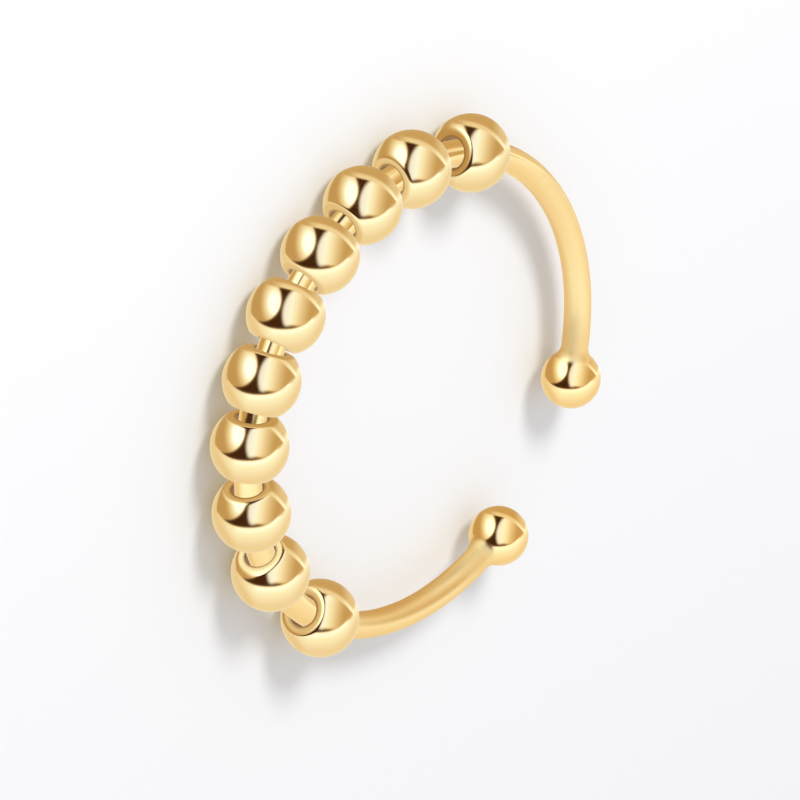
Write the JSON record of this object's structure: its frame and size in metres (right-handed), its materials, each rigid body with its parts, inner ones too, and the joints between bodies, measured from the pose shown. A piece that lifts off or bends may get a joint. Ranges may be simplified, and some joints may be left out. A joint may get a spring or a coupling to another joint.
{
  "type": "spinner ring",
  "caption": "Open finger ring of round wire with a soldered ball at each end and loose polished beads that spin and slide on the wire.",
  "frame": {"origin": "middle of the finger opening, in the plane of the wire's circle", "axes": "+Z along the ring's axis, up when it lies on a table; +X from the middle towards the opening between the two end balls"},
  "size_m": [0.021, 0.0211, 0.003],
  "materials": {
    "wire_metal": "mirror-polished pale gold plate",
    "bead_metal": "mirror-polished pale gold plate"
  },
  "bodies": {
    "shank": {"shank": "wire_metal"},
    "bead_01": {"bead_01": "bead_metal"},
    "bead_02": {"bead_02": "bead_metal"},
    "bead_03": {"bead_03": "bead_metal"},
    "bead_04": {"bead_04": "bead_metal"},
    "bead_05": {"bead_05": "bead_metal"},
    "bead_06": {"bead_06": "bead_metal"},
    "bead_07": {"bead_07": "bead_metal"},
    "bead_08": {"bead_08": "bead_metal"},
    "bead_09": {"bead_09": "bead_metal"},
    "bead_10": {"bead_10": "bead_metal"}
  },
  "joints": [
    {"name": "bead_01_spin", "type": "hinge", "parent": "shank", "child": "bead_01", "pos_m": [-0.00307, 0.00885, 0], "axis": [-0.9447, -0.3281, 0], "continuous": true},
    {"name": "bead_02_spin", "type": "hinge", "parent": "shank", "child": "bead_02", "pos_m": [-0.00602, 0.00717, 0], "axis": [-0.7655, -0.6434, 0], "continuous": true},
    {"name": "bead_03_spin", "type": "hinge", "parent": "shank", "child": "bead_03", "pos_m": [-0.00788, 0.00506, 0], "axis": [-0.5404, -0.8414, 0], "continuous": true},
    {"name": "bead_04_spin", "type": "hinge", "parent": "shank", "child": "bead_04", "pos_m": [-0.00898, 0.00264, 0], "axis": [-0.2821, -0.9594, 0], "continuous": true},
    {"name": "bead_05_spin", "type": "hinge", "parent": "shank", "child": "bead_05", "pos_m": [-0.00936, 0.00005, 0], "axis": [-0.0053, -1, 0], "continuous": true},
    {"name": "bead_06_spin", "type": "hinge", "parent": "shank", "child": "bead_06", "pos_m": [-0.00902, -0.00253, 0], "axis": [0.2698, -0.9629, 0], "continuous": true},
    {"name": "bead_07_spin", "type": "hinge", "parent": "shank", "child": "bead_07", "pos_m": [-0.00797, -0.00491, 0], "axis": [0.5242, -0.8516, 0], "continuous": true},
    {"name": "bead_08_spin", "type": "hinge", "parent": "shank", "child": "bead_08", "pos_m": [-0.00612, -0.00708, 0], "axis": [0.7565, -0.654, 0], "continuous": true},
    {"name": "bead_09_spin", "type": "hinge", "parent": "shank", "child": "bead_09", "pos_m": [-0.00347, -0.0087, 0], "axis": [0.9287, -0.3709, 0], "continuous": true},
    {"name": "bead_10_spin", "type": "hinge", "parent": "shank", "child": "bead_10", "pos_m": [0.0006, -0.00934, 0], "axis": [0.9979, 0.0644, 0], "continuous": true}
  ]
}
